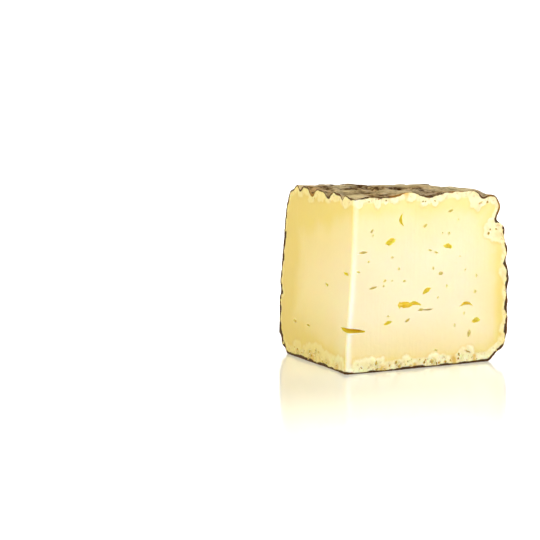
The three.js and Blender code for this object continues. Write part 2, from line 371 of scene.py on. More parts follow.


# Natural rind: a skin of dried curd under grey mould that was brushed down many times. It is dull and
# velvety. The top is beige, dark brown in its creases and on the low side of its folds, with white bloom and
# a few rusty spots; the creases' brown is partly painted shade, and the folds' is painted shade. The side is
# greyer: ivory specks on drab brown, olive-brown patches, clouds of white bloom and dark flecks. The fuzz of
# the mould is finer than a tenth of a millimetre, and is drawn 1.2 mm wide so that it shows.
natural_rind, tree = empty_material("natural rind, brushed grey mould")
place = add(tree, "TexCoord").node.outputs["Object"]
crease_and_shade_marks = add(tree, "Attribute", attribute_name="creased_and_shaded").node.outputs["Fac"]
bloom = add(tree, "Attribute", attribute_name="bloomed").node.outputs["Fac"]
patches = add(tree, "TexNoise", {"Vector": place, "Scale": 1 / (22 * MM), "Detail": 4, "Roughness": 0.6})
blotches = add(tree, "TexNoise", {"Vector": place, "Scale": 1 / (5.5 * MM), "Detail": 6, "Roughness": 0.65})
fuzz = add(tree, "TexNoise", {"Vector": place, "Scale": 1 / (1.2 * MM), "Detail": 3, "Roughness": 0.6})
rust = add(tree, "TexVoronoi", {"Vector": place, "Scale": 1 / (34 * MM)})
brown = add(tree, "MapRange", {"Value": patches, "From Min": 0.4, "From Max": 0.62})
skin = add(tree, "Mix", {0: brown, 6: linear("#F6E2C0"), 7: linear("#DCB486")}, data_type="RGBA")
pale = add(tree, "MapRange", {"Value": blotches, "From Min": 0.52, "From Max": 0.66})
skin = add(tree, "Mix", {0: pale, 6: skin, 7: linear("#F2E4D0")}, data_type="RGBA")
dark = add(tree, "MapRange", {"Value": blotches, "From Min": 0.48, "From Max": 0.37, "To Max": 0.9})
skin = add(tree, "Mix", {0: dark, 6: skin, 7: linear("#4C3212")}, data_type="RGBA")
height = add(tree, "SeparateXYZ", {"Vector": place}).node.outputs["Z"]
side = add(tree, "MapRange", {"Value": height, "From Min": 77 * MM, "From Max": 66 * MM})
specks = add(tree, "TexNoise", {"Vector": place, "Scale": 1 / (2.6 * MM), "Detail": 4, "Roughness": 0.7})
ivory = add(tree, "MapRange", {"Value": specks, "From Min": 0.44, "From Max": 0.6})
side_skin = add(tree, "Mix", {0: ivory, 6: linear("#B59E78"), 7: linear("#F2E8D2")}, data_type="RGBA")
olive = add(tree, "MapRange", {"Value": patches, "From Min": 0.49, "From Max": 0.58, "To Max": 0.85})
side_skin = add(tree, "Mix", {0: olive, 6: side_skin, 7: linear("#86693A")}, data_type="RGBA")
clouds = add(tree, "TexNoise", {"Vector": place, "Scale": 1 / (17 * MM), "Detail": 3})
white = add(tree, "MapRange", {"Value": clouds, "From Min": 0.55, "From Max": 0.65, "To Max": 0.8})
side_skin = add(tree, "Mix", {0: white, 6: side_skin, 7: linear("#FFFBF2")}, data_type="RGBA")
fleck = add(tree, "MapRange", {"Value": specks, "From Min": 0.41, "From Max": 0.35, "To Max": 0.75})
side_skin = add(tree, "Mix", {0: fleck, 6: side_skin, 7: linear("#4A3A20")}, data_type="RGBA")
skin = add(tree, "Mix", {0: side, 6: skin, 7: side_skin}, data_type="RGBA")
rusty = add(tree, "MapRange", {"Value": rust, "From Min": 0.09, "From Max": 0.03, "To Max": 0.75})
skin = add(tree, "Mix", {0: rusty, 6: skin, 7: linear("#96551F")}, data_type="RGBA")
skin = add(tree, "Mix", {0: bloom, 6: skin, 7: linear("#DACCA8")}, data_type="RGBA")
# The creases' dark brown is partly painted shade, with the folds' painted shade; less of it shows on the
# side.
shown = add(tree, "MapRange", {"Value": side, "To Min": 1, "To Max": 0.65})
sunk = add(tree, "Math", {0: crease_and_shade_marks, 1: shown}, operation="MULTIPLY")
skin = add(tree, "Mix", {0: sunk, 6: skin, 7: linear("#46290A")}, data_type="RGBA")
grey = add(tree, "MapRange", {"Value": fuzz, "To Min": 0.7, "To Max": 1.3})
skin = add(tree, "Mix", {0: 1, 6: skin, 7: grey}, data_type="RGBA", blend_type="MULTIPLY")
velvet = add(tree, "Bump", {"Height": fuzz, "Strength": 0.5, "Distance": 0.3 * MM})
surface = add(
    tree,
    "BsdfPrincipled",
    {
        "Base Color": skin,
        "Roughness": 0.95,
        "Diffuse Roughness": 0.8,
        "IOR": 1.4,
        "Specular IOR Level": 0,
        "Normal": velvet,
    },
)
add(tree, "OutputMaterial", {"Surface": surface})
tomme.data.materials.append(natural_rind)

# The knife cuts
# Two strokes of a long knife from the middle free the wedge. The knife was held a little off the vertical,
# it waves slightly in the soft paste, and it leaves the front edge soft. Under the rind the paste breaks into
# grains.
TIP_ROUND = 1.1 * MM
KNIFE_REACH = 1.06 * WHEEL_RADIUS
TRIANGLE_HEIGHT = 1.5
KNIFE_FROM = -4 * MM
KNIFE_TO = WHEEL_HEIGHT + 5 * MM
KNIFE_MESH = 0.78 * MM
KNIFE_WAVE_SPACING = 19 * MM
KNIFE_WAVE = 0.16 * MM
# The front edge bends aside by these shares of EDGE_BEND at these heights.
EDGE_BEND = 1.4 * MM
EDGE_BEND_REACH = 12 * MM
EDGE_BEND_HEIGHTS = (0, 12 * MM, 35 * MM, 50 * MM)
EDGE_BEND_SHARES = (0.85, 1, 0.3, 0)
EDGE_CALM = 0.4
# Distance from the tip, height and radius of the pale grains that the knife ran through, in millimetres.
RIGHT_GRAINS = [
    (9.2, 4.6, 3.2),
    (17.3, 4.0, 3.2),
    (27.9, 2.7, 3.0),
    (37.2, 1.6, 2.6),
    (47.9, 3.0, 3.8),
    (56.4, 1.5, 3.0),
    (64.7, 4.4, 3.4),
    (70.1, 5.0, 3.8),
    (69.8, 77.1, 2.8),
    (70.6, 74.3, 2.6),
    (73.0, 73.2, 2.6),
    (75.8, 75.2, 2.8),
    (81.7, 65.4, 2.8),
    (79.6, 60.2, 2.8),
    (83.1, 58.3, 3.2),
    (79.9, 62.8, 3.0),
    (3.6, 77.3, 2.2),
    (13.6, 75.9, 2.1),
    (18.8, 78.0, 2.2),
    (24.8, 78.2, 2.0),
    (32.5, 78.8, 2.2),
    (41.5, 76.4, 2.9),
    (47.9, 75.9, 2.1),
]
LEFT_GRAINS = [
    (66.6, 5.2, 3.6),
    (57.0, 2.4, 2.6),
    (49.9, 5.3, 3.8),
    (43.3, 6.2, 4.0),
    (36.8, 6.2, 4.0),
    (28.0, 4.6, 3.8),
    (17.3, 4.0, 3.4),
    (8.5, 4.6, 3.8),
    (68.0, 77.4, 2.7),
    (53.1, 76.3, 2.6),
    (40.6, 77.9, 2.6),
    (21.7, 78.4, 2.6),
    (10.5, 77.0, 2.4),
]
# The same for the stains that the rind has left in the paste: golden ones, and then olive ones round the
# mouldy pits.
RIGHT_STAINS = [(60.8, 3.0, 2.8), (73.4, 2.6, 2.0), (31.5, 80.5, 2.6), (18.5, 1.2, 2.6), (38, 1.6, 2.4)]
LEFT_STAINS = [(33.5, 1.6, 2.6), (14.0, 2.2, 2.2), (47.0, 3.0, 2.2)]
RIGHT_MOULD = [(15.4, 4.0, 1.8), (27.4, 3.6, 1.6), (29.2, 2.2, 1.8), (48.1, 2.8, 2.0)]
LEFT_MOULD = [(66.5, 3.9, 1.2), (49.5, 4.8, 1.6), (42.4, 6.0, 1.0), (27.8, 2.4, 1.2)]
GRAIN_SPACING = 3.9 * MM
GRAIN_SHARE = 0.85
GRAIN_SEED = 3.7
GRAIN_BAND = 2.4 * MM
FOOT_BAND = 4.6 * MM
LEAST_BAND = 0.6
BAND_CHANCE = 0.8
FOOT_ZONE = 14 * MM
HANGING_ABOVE = 70
STANDING_BELOW = 10
GRAIN_HEIGHT = 0.12 * MM
GRAIN_STEEPNESS = 1.6
GRAIN_RAGGED_SPACING = 4.2 * MM
GRAIN_RAGGED = 1.4 * MM
LEFT_STRETCH = 2.0
OUTSIDE = -0.35
CRUMB_SPACING = 1.7 * MM
CRUMB_HEIGHT = 0.16 * MM
CRUMB_BAND = 5 * MM
CRUMB_FULL = 0.4 * CRUMB_BAND
# The painted highlight along the edge is narrower on the left cut. Painted shade deepens the left cut away
# from its edge, and the right one only at its far end, where the faces turn from the light.
LEFT_NARROWING = 2.5
RIGHT_PAINTED_SHADE = 0.4
RIGHT_SHADE_FROM = 84 * MM
RIGHT_SHADE_REACH = 8 * MM


def pick(piece, element, wanted):
    """Selects, in edit mode, only the vertices, edges or faces of a piece that pass a test.

    The test is given a vertex's place, the places of an edge's two ends, or a face.
    """
    bpy.ops.object.mode_set(mode="EDIT")
    bpy.ops.mesh.select_mode(type=element)
    bpy.ops.mesh.select_all(action="DESELECT")
    bpy.ops.object.mode_set(mode="OBJECT")
    corners = [vertex.co for vertex in piece.data.vertices]
    if element == "VERT":
        piece.data.vertices.foreach_set("select", [wanted(corner) for corner in corners])
    elif element == "FACE":
        piece.data.polygons.foreach_set("select", [wanted(face) for face in piece.data.polygons])
    else:
        ends = [edge.vertices for edge in piece.data.edges]
        piece.data.edges.foreach_set("select", [wanted(corners[a], corners[b]) for a, b in ends])
    bpy.ops.object.mode_set(mode="EDIT")


def divide(piece, wanted, length, step):
    """Divides edges of a length that pass a test into steps, in two rounds, with the faces between them."""
    cuts = math.ceil(math.sqrt(length / step)) - 1
    for _ in range(2):
        pick(piece, "EDGE", wanted)
        bpy.ops.mesh.subdivide(number_cuts=cuts)


# The room between the strokes is a tall prism on a triangle with equal sides, widened to the wedge's angle.
# Its tip is rounded, and its walls are divided finely enough for the grains.
knife_radius = KNIFE_REACH / TRIANGLE_HEIGHT
bpy.ops.object.select_all(action="DESELECT")
bpy.ops.mesh.primitive_circle_add(vertices=3, radius=knife_radius, fill_type="NOTHING", enter_editmode=True)
knife = bpy.context.object
knife.name = "knife room"
widen = TRIANGLE_HEIGHT * math.tan(RIGHT_CUT) / math.sin(math.tau / 3)
bpy.ops.transform.translate(value=(0, -knife_radius, KNIFE_FROM))
bpy.ops.transform.resize(value=(widen, -1, 1), center_override=(0, 0, 0))
pick(knife, "VERT", lambda corner: corner.y < TIP_ROUND)
bpy.ops.mesh.bevel(offset=TIP_ROUND / math.tan(RIGHT_CUT), segments=4, affect="VERTICES")
cut_length = KNIFE_REACH / math.cos(RIGHT_CUT)
knife_height = KNIFE_TO - KNIFE_FROM
divide(knife, lambda a, b: (a - b).length > TIP_ROUND and a.x * b.x > 0, cut_length, KNIFE_MESH)
bpy.ops.mesh.select_all(action="SELECT")
bpy.ops.mesh.edge_face_add()
bpy.ops.mesh.extrude_region_move(TRANSFORM_OT_translate={"value": (0, 0, knife_height)})
divide(knife, lambda a, b: abs(a.z - b.z) > 0.5 * KNIFE_MESH, knife_height, KNIFE_MESH)
bpy.ops.mesh.select_all(action="SELECT")
bpy.ops.mesh.normals_make_consistent(inside=False)
bpy.ops.object.mode_set(mode="OBJECT")


def domes(places, rows, cut):
    """How deep places on a cut lie in grains or stains: 1 in the middle, 0 at the edge, and down to OUTSIDE.

    One near the top reaches up to the rind, one near the foot down to it, and any other outwards.
    """
    inside = np.full(len(places), OUTSIDE)
    across = places @ np.array(heading_vector(cut)) / MM
    up = places[:, 2] / MM
    stretch = 1 if cut == RIGHT_CUT else LEFT_STRETCH
    for from_tip, middle, radius in rows:
        past = across - from_tip
        over = up - middle
        if middle > HANGING_ABOVE:
            over = np.minimum(over, 0)
        elif middle < STANDING_BELOW:
            over = np.maximum(over, 0)
        else:
            past = np.minimum(past, 0)
        inside = np.maximum(inside, 1 - np.hypot(past / stretch, over) / radius)
    return inside


def on_both(places, right_side, right_rows, left_rows):
    """The same for places on both cuts, each cut with its own rows."""
    return np.where(right_side, domes(places, right_rows, RIGHT_CUT), domes(places, left_rows, LEFT_CUT))


def small_grain(place):
    """The same for small grains that lie at random in a band under the rind, deeper over the flat base."""
    height = OUTSIDE
    band = FOOT_BAND if place.z < FOOT_ZONE and place.xy.length < FOOT_FLAT else GRAIN_BAND
    for away, seed in zip(*noise.voronoi(place / GRAIN_SPACING)):
        reach = band * (LEAST_BAND + BAND_CHANCE * noise.cell(seed * GRAIN_SEED))
        if under_rind(seed * GRAIN_SPACING) < reach:
            height = max(height, 1 - away / GRAIN_SHARE)
    return height


places = vertex_places(knife.data)
right_side = places[:, 0] > 0
out = np.where(right_side[:, None], np.array(out_of_cut(RIGHT_CUT)), np.array(out_of_cut(LEFT_CUT)))
from_edge = np.linalg.norm(places[:, :2], axis=1)
bend = EDGE_BEND * np.interp(places[:, 2], EDGE_BEND_HEIGHTS, EDGE_BEND_SHARES)
bend *= np.exp(-((from_edge / EDGE_BEND_REACH) ** 2))
places += (lean(places[:, 2]) - bend)[:, None] * np.array(LEAN_SIDE)
strays = [noise.noise_vector(Vector(place) / GRAIN_RAGGED_SPACING) for place in places]
ragged = places + GRAIN_RAGGED * np.array(strays)
grain = on_both(ragged, right_side, RIGHT_GRAINS, LEFT_GRAINS)
stain = on_both(ragged, right_side, RIGHT_STAINS, LEFT_STAINS)
mould = on_both(ragged, right_side, RIGHT_MOULD, LEFT_MOULD)
push = np.zeros(len(places))
for i, place in enumerate(map(Vector, places)):
    push[i] = KNIFE_WAVE * noise.noise(place / KNIFE_WAVE_SPACING)
    depth = under_rind(place)
    if depth < 2 * CRUMB_BAND:
        crumbly = 1 - ease(CRUMB_FULL, CRUMB_BAND, depth)
        grain[i] = max(grain[i], small_grain(place))
        push[i] += crumbly * CRUMB_HEIGHT * noise.noise(place / CRUMB_SPACING)
        swell = min(1, max(0, GRAIN_STEEPNESS * grain[i]))
        push[i] += GRAIN_HEIGHT * (1 - (1 - swell) ** 2 - crumbly)
push[from_edge < 2 * TIP_ROUND] *= EDGE_CALM
# Painted highlight narrower on the left cut; painted shade on the left cut and at the right cut's far end.
from_edge[~right_side] *= LEFT_NARROWING
painted_shade = np.clip(from_edge / (LEFT_NARROWING * WHEEL_RADIUS), 0, 1)
right_shade = (from_edge[right_side] - RIGHT_SHADE_FROM) / RIGHT_SHADE_REACH
painted_shade[right_side] = RIGHT_PAINTED_SHADE * np.clip(right_shade, 0, 1)
places += out * push[:, None]
knife.data.vertices.foreach_set("co", places.ravel())
measures = {"grain": grain, "stain": stain, "mould": mould, "from_edge": from_edge / MM, "painted_shade": painted_shade}
for name, values in measures.items():
    add_values(knife.data, name, values)
knife.data.update()

# The setting that makes a Map Range node rise and level off softly.
SOFTLY = {"interpolation_type": "SMOOTHSTEP"}

# Semi-soft paste, smeared flat by the knife: creamy yellow and a little translucent, so light softens its
# edges. It is palest in the middle and deepens towards the rind, where pale grains lie between small brown
# gaps. The knife's smear is 2 mm wide and 36 mm long.
PASTE_IOR = 1.46
paste, tree = empty_material("semi-soft paste, knife cut")
place = add(tree, "TexCoord").node.outputs["Object"]
readers = [add(tree, "Attribute", attribute_name=name) for name in ("under_rind", *measures)]
depth, grain_height, stained, mouldy, edge, painted_shade_share = [reader.node.outputs["Fac"] for reader in readers]
drift = add(tree, "TexNoise", {"Vector": place, "Scale": 1 / (16 * MM), "Detail": 3})
mottle = add(tree, "TexNoise", {"Vector": place, "Scale": 1 / (2.2 * MM), "Detail": 3, "Roughness": 0.6})
crumbs = add(tree, "TexNoise", {"Vector": place, "Scale": 1 / (1.6 * MM), "Detail": 2})
clumps = add(tree, "TexNoise", {"Vector": place, "Scale": 1 / (4.2 * MM), "Detail": 2})
streaked = add(tree, "Mapping", {"Vector": place, "Scale": (1 / (2 * MM), 1 / (2 * MM), 1 / (35.7 * MM))})
smear = add(tree, "TexNoise", {"Vector": streaked, "Scale": 1, "Detail": 2})
# The yellow follows the depth under the rind in millimetres, moved by slow drifts. It is deeper where the
# painted shade lies on the cuts, and paler towards the base.
wander = add(tree, "MapRange", {"Value": drift, "To Min": -4, "To Max": 4})
reach = add(tree, "Math", {0: depth, 1: wander}, operation="ADD")
reach = add(tree, "Math", {0: painted_shade_share, 1: -17, 2: reach}, operation="MULTIPLY_ADD")
height = add(tree, "SeparateXYZ", {"Vector": place}).node.outputs["Z"]
low = add(tree, "MapRange", {"Value": height, "From Min": 45 * MM, "From Max": 15 * MM, "To Max": 3})
reach = add(tree, "Math", {0: reach, 1: low}, operation="ADD")
ripe = add(tree, "MapRange", {"Value": reach, "From Min": 2, "From Max": 14}, **SOFTLY)
colour = add(tree, "Mix", {0: ripe, 6: linear("#EAD260"), 7: linear("#F0DC98")}, data_type="RGBA")
heart = add(tree, "MapRange", {"Value": reach, "From Min": 6, "From Max": 30}, **SOFTLY)
# Painted light and shade: the heart of the paste is darker high up and paler near the base.
painted_light_by_height = add(tree, "MapRange", {"Value": height, "From Min": 70 * MM, "From Max": 15 * MM})
pale = add(tree, "Mix", {0: painted_light_by_height, 6: linear("#F4DEB0"), 7: linear("#F8E8C2")}, data_type="RGBA")
colour = add(tree, "Mix", {0: heart, 6: colour, 7: pale}, data_type="RGBA")
# A rim of crumb lies under the rind, wider at the foot, and painted light makes it palest there on the right
# cut.
at_foot = add(tree, "MapRange", {"Value": height, "From Min": 12 * MM, "From Max": 3 * MM})
rim_depth = add(tree, "Math", {0: at_foot, 1: -2, 2: depth}, operation="MULTIPLY_ADD")
without_painted_light = add(tree, "MapRange", {"Value": painted_shade_share, "From Max": 0.3})
above_foot = add(tree, "Math", {0: at_foot, 1: -1, 2: 1}, operation="MULTIPLY_ADD")
without_painted_light = add(tree, "Math", {0: without_painted_light, 1: above_foot}, operation="MAXIMUM")
cream = add(tree, "Mix", {0: without_painted_light, 6: linear("#FFFAD2"), 7: linear("#FAEFC2")}, data_type="RGBA")
rim = add(tree, "MapRange", {"Value": rim_depth, "From Min": 3.8, "From Max": 1.9, "To Max": 0.8}, **SOFTLY)
colour = add(tree, "Mix", {0: rim, 6: colour, 7: cream}, data_type="RGBA")
# Each grain is a pale dome with a yellower core, in a ring of painted shade. The grains stand out less on
# the left cut.
crumbled = add(tree, "MapRange", {"Value": mottle, "To Min": -0.3, "To Max": 0.3})
crumbled = add(tree, "Math", {0: crumbled, 1: grain_height}, operation="ADD")
painted_shade_ring = add(tree, "MapRange", {"Value": crumbled, "From Min": -0.3, "From Max": 0, "To Max": 0.28})
colour = add(tree, "Mix", {0: painted_shade_ring, 6: colour, 7: linear("#E0C05C")}, data_type="RGBA")
domed = add(
    tree, "MapRange", {"Value": crumbled, "From Min": -0.06, "From Max": 0.42, "To Max": 0.88}, **SOFTLY
)
faded = add(tree, "MapRange", {"Value": painted_shade_share, "From Max": 0.5, "To Min": 1, "To Max": 0.65})
domed = add(tree, "Math", {0: domed, 1: faded}, operation="MULTIPLY")
colour = add(tree, "Mix", {0: domed, 6: colour, 7: cream}, data_type="RGBA")
core = add(tree, "MapRange", {"Value": crumbled, "From Min": 0.35, "From Max": 0.8, "To Max": 0.5})
colour = add(tree, "Mix", {0: core, 6: colour, 7: linear("#EBDA90")}, data_type="RGBA")
# The crumb of the rim and the grains is uneven, with patches of painted shade, small brown gaps in the rim,
# golden stains, and olive ones at the mouldy pits.
crumb = add(tree, "Math", {0: rim, 1: domed}, operation="MAXIMUM")
shade = add(tree, "MapRange", {"Value": clumps, "From Min": 0.48, "From Max": 0.34, "To Max": 0.45})
shade = add(tree, "Math", {0: shade, 1: crumb}, operation="MULTIPLY")
colour = add(tree, "Mix", {0: shade, 6: colour, 7: linear("#DCC272")}, data_type="RGBA")
gap = add(tree, "MapRange", {"Value": crumbs, "From Min": 0.42, "From Max": 0.3, "To Max": 0.6})
gap = add(tree, "Math", {0: gap, 1: rim}, operation="MULTIPLY")
colour = add(tree, "Mix", {0: gap, 6: colour, 7: linear("#B0882C")}, data_type="RGBA")
rust = add(tree, "MapRange", {"Value": stained, "From Min": 0, "From Max": 0.7, "To Max": 0.8})
colour = add(tree, "Mix", {0: rust, 6: colour, 7: linear("#DEB418")}, data_type="RGBA")
olive = add(tree, "MapRange", {"Value": mouldy, "From Min": 0, "From Max": 0.7, "To Max": 0.6})
colour = add(tree, "Mix", {0: olive, 6: colour, 7: linear("#BCA850")}, data_type="RGBA")
# The front edge is smeared smooth, and a painted highlight lies along it, weaker towards the top.
gloss_and_painted_highlight = add(tree, "MapRange", {"Value": edge, "From Min": 4, "From Max": 0.4}, **SOFTLY)
painted_highlight_height = add(tree, "MapRange", {"Value": height, "From Min": 60 * MM, "From Max": 30 * MM, "To Min": 0.5})
gloss_and_painted_highlight = add(tree, "Math", {0: gloss_and_painted_highlight, 1: painted_highlight_height}, operation="MULTIPLY")
colour = add(tree, "Mix", {0: gloss_and_painted_highlight, 6: colour, 7: linear("#FFFFFF")}, data_type="RGBA")
# The cut rind is a brown line of uneven width in millimetres: broken at the side, steadier along the top and
# the foot, wider where the painted shade lies, and golden here and there at the top.
skin_noise = add(tree, "TexNoise", {"Vector": place, "Scale": 1 / (8 * MM), "Detail": 3})
side_skin = add(
    tree, "MapRange", {"Value": skin_noise, "From Min": 0.42, "From Max": 0.58, "To Min": -0.5, "To Max": 1.3}
)
side_skin = add(tree, "Math", {0: painted_shade_share, 1: 1.8, 2: side_skin}, operation="MULTIPLY_ADD")
level_skin = add(
    tree, "MapRange", {"Value": skin_noise, "From Min": 0.42, "From Max": 0.58, "To Min": 0.1, "To Max": 0.75}
)
level_skin = add(tree, "Math", {0: painted_shade_share, 1: 0.6, 2: level_skin}, operation="MULTIPLY_ADD")
at_top = add(tree, "MapRange", {"Value": height, "From Min": 66 * MM, "From Max": 74 * MM})
level = add(tree, "Math", {0: at_top, 1: at_foot}, operation="MAXIMUM")
skin_depth = add(tree, "Mix", {0: level, 2: side_skin, 3: level_skin})
skin_depth = add(tree, "Math", {0: at_foot, 1: 0.3, 2: skin_depth}, operation="MULTIPLY_ADD")
skin_inner = add(tree, "Math", {0: skin_depth, 1: 0.35}, operation="ADD")
line = add(tree, "MapRange", {"Value": depth, "From Min": skin_inner, "From Max": skin_depth})
golden = add(tree, "MapRange", {"Value": drift, "From Min": 0.5, "From Max": 0.6})
golden = add(tree, "Math", {0: golden, 1: at_top}, operation="MULTIPLY")
brown = add(tree, "Mix", {0: golden, 6: linear("#442800"), 7: linear("#8C6018")}, data_type="RGBA")
colour = add(tree, "Mix", {0: line, 6: colour, 7: brown}, data_type="RGBA")
dull = add(tree, "MapRange", {"Value": line, "To Min": 0.36})
# Painted shade: where it lies, a cut is a deeper yellow all over.
colour = add(
    tree, "Mix", {0: painted_shade_share, 6: colour, 7: linear("#F8F0A0")}, data_type="RGBA", blend_type="MULTIPLY"
)
tint = add(tree, "MapRange", {"Value": mottle, "To Min": 0.97, "To Max": 1.03})
colour = add(tree, "Mix", {0: 1, 6: colour, 7: tint}, data_type="RGBA", blend_type="MULTIPLY")
relief = add(tree, "Math", {0: mottle, 1: smear}, operation="ADD")
bump = add(tree, "Bump", {"Height": relief, "Strength": 0.25, "Distance": 0.25 * MM})
surface = add(
    tree,
    "BsdfPrincipled",
    {
        "Base Color": colour,
        "Roughness": dull,
        "IOR": PASTE_IOR,
        "Specular IOR Level": 0.65,
        "Subsurface Weight": 0.6,
        "Subsurface Radius": (1.0, 0.7, 0.3),
        "Subsurface Scale": 3 * MM,
        "Normal": bump,
    },
)
add(tree, "OutputMaterial", {"Surface": surface})
knife.data.materials.append(paste)

two_strokes = tomme.modifiers.new("two strokes", "BOOLEAN")
two_strokes.operation = "INTERSECT"
two_strokes.solver = "MANIFOLD"
two_strokes.material_mode = "TRANSFER"
two_strokes.object = knife
bpy.ops.object.select_all(action="DESELECT")
bpy.context.view_layer.objects.active = tomme
bpy.ops.object.modifier_apply(modifier=two_strokes.name)
bpy.data.objects.remove(knife)

# The eyes
# Eyes are gas bubbles that the curd kept as it ripened. The knife opened them: most are flattened slits or
# pinholes, and one long split runs through the front edge. Ragged little pits lie between the grains, near
# the rind.

# Distance from the tip, height, length and thickness of each eye in millimetres, its tilt in degrees, and how
# far it bends up in the middle.
RIGHT_EYES = [
    (28.0, 68.9, 6.2, 1.7, 97, 1.5),
    (21.6, 59.4, 6.0, 3.2, 18, 0),
    (55.6, 55.5, 5.8, 2.2, -8, 0.3),
    (6.1, 55.1, 5.2, 1.3, 4, 0.2),
    (41.7, 65.7, 2.9, 1.4, 25, 0),
    (56.4, 71.9, 3.5, 1.3, 12, 0),
    (10.8, 64.7, 2.3, 1.4, 40, 0),
    (55.9, 61.5, 1.7, 1.3, 0, 0),
    (45.0, 54.2, 2.5, 1.0, -10, 0),
    (48.6, 53.0, 2.7, 0.9, -15, 0),
    (23.1, 52.1, 1.9, 1.0, 0, 0),
    (9.4, 50.8, 1.6, 1.2, 0, 0),
    (27.2, 46.7, 1.9, 1.4, 0, 0),
    (47.2, 45.8, 1.5, 1.6, 0, 0),
    (51.7, 43.2, 3.0, 1.7, 0, 0),
    (73.2, 41.0, 1.4, 1.8, 0, 0),
    (3.9, 46.5, 2.5, 1.1, -15, 0),
    (19.2, 41.6, 2.3, 1.2, 20, 0),
    (18.6, 39.3, 1.5, 1.1, 0, 0),
    (30.5, 40.9, 2.3, 1.1, 0, 0),
    (12.7, 38.8, 5.0, 1.1, 12, 0),
    (43.7, 35.6, 5.5, 2.4, 26, 0.2),
    (72.7, 33.5, 2.0, 1.6, 0, 0),
    (31.3, 29.9, 8.4, 3.0, -5, 0),
    (36.9, 29.9, 8.0, 2.0, -4, 0.9),
    (28.4, 30.0, 3.1, 2.7, 90, 0),
    (40.7, 27.1, 3.6, 1.4, 4, 0),
    (44.8, 26.9, 6.4, 0.7, 0, -0.2),
    (67.8, 27.6, 7.8, 1.6, 0, 1.6),
    (66.6, 23.7, 1.4, 1.6, 0, 0),
    (73.8, 19.9, 5.4, 2.5, 8, 0.5),
    (21.7, 25.2, 1.6, 1.3, 0, 0),
    (21.8, 22.2, 5.0, 1.7, 14, 0.2),
    (33.0, 22.7, 3.1, 1.3, 25, 0),
    (61.2, 18.5, 1.5, 1.7, 0, 0),
    (69.9, 14.1, 3.6, 2.1, 80, 0),
    (50.4, 7.6, 2.2, 1.2, -25, 0),
    (55.6, 37.2, 1.3, 1.4, 0, 0),
    (50.6, 32.1, 1.5, 1.0, 40, 0),
    (66.4, 44.1, 1.6, 0.7, 30, 0),
    (61.1, 67.6, 1.3, 0.8, 0, 0),
    (52.0, 61.8, 1.3, 0.8, 0, 0),
    (62.9, 50.5, 1.2, 0.8, 0, 0),
    (23.3, 41.4, 1.3, 0.8, 0, 0),
    (11.5, 62.7, 1.6, 1.0, 30, 0),
]
LEFT_EYES = [
    (6.0, 45.3, 6.6, 1.3, 6, 0),
    (30.0, 38.2, 4.2, 1.5, 10, 0),
    (52.8, 16.9, 5.2, 1.3, 0, 0),
]
# Only the slot is longer than SLOT_LENGTH. An eye is a pinhole if its length times its thickness is less than
# PINHOLE_AREA, in square millimetres.
SLOT_LENGTH = 8.2
PINHOLE_AREA = 8
DEEPEST_EYE = 2.0
EYE_DEPTH = 0.3
EYE_ROUGHNESS = 0.3
POINTED_ENDS = 0.4
WALL_WAVES = 2.1
WALL_SEED = 900
# Distance from the tip, height, length and thickness of the ragged pits, in millimetres.
RIGHT_PITS = [
    (15.6, 4.1, 1.6, 2.4),
    (7.8, 2.4, 1.6, 1.3),
    (16.4, 1.5, 2.6, 1.2),
    (20.8, 1.2, 2.2, 1.2),
    (27.2, 3.7, 1.7, 2.0),
    (29.2, 1.9, 2.4, 1.6),
    (36.2, 1.5, 2.4, 1.0),
    (44.4, 3.5, 1.4, 1.2),
    (48.1, 2.6, 2.4, 2.4),
    (52.4, 1.6, 1.5, 1.5),
    (56.3, 1.9, 1.7, 1.4),
    (59.3, 2.1, 1.3, 1.6),
    (64.2, 4.9, 1.3, 1.3),
    (64.0, 2.8, 1.5, 1.1),
    (69.4, 5.7, 4.4, 0.9),
    (74.3, 74.8, 3.2, 1.0),
    (79.6, 60.3, 1.4, 1.5),
    (80.6, 62.0, 1.0, 1.0),
    (84.1, 62.0, 1.6, 1.0),
    (14.1, 79.0, 1.4, 0.8),
    (18.4, 78.2, 1.2, 0.9),
    (8.6, 78.0, 1.4, 0.8),
    (39.9, 76.9, 1.2, 0.8),
    (46.9, 76.8, 1.3, 0.8),
]
LEFT_PITS = [
    (71.2, 17.0, 4.8, 1.8),
    (66.5, 3.9, 2.2, 1.5),
    (49.6, 4.8, 2.6, 1.8),
    (47.2, 3.2, 2.6, 1.8),
    (42.4, 6.2, 1.8, 1.3),
    (38.0, 5.7, 2.2, 1.2),
    (33.5, 2.2, 3.0, 1.4),
    (27.8, 2.2, 2.6, 1.2),
    (14.5, 2.5, 2.4, 1.4),
    (9.8, 3.8, 2.0, 1.3),
    (7.5, 1.5, 1.8, 1.2),
    (3.4, 1.6, 1.3, 1.5),
]
PIT_TILT = 30
PIT_DEPTH = 0.3
LEAST_PIT_DEPTH = 0.2
PIT_ROUGHNESS = 0.5
# Each cut also gets loose pits by chance, about two at the foot for each one at the top or high on the side.
LOOSE_PITS = 30
CHANCE_SEED = 12
LOOSE_PIT_REACH = (2, 90)
LOOSE_PIT_LENGTH = (0.5, 1.6)
LOOSE_PIT_THICKNESS = (0.5, 1)
LOOSE_PIT_DEPTH = 0.4
FOOT_HEIGHTS = (0.8, 5)
TOP_HEIGHTS = (60, 81)
NEAREST_RIND = 0.7
FURTHEST_AT_FOOT = 4.5
FURTHEST_AT_TOP = 3
SPLIT_HEIGHT = 19.9
SPLIT_REACH = 9.2
SPLIT_THICKNESS = 2.2
SPLIT_FALL = 0.8
SPLIT_ROUGHNESS = 0.1
SPLIT_WAVES = 2.5


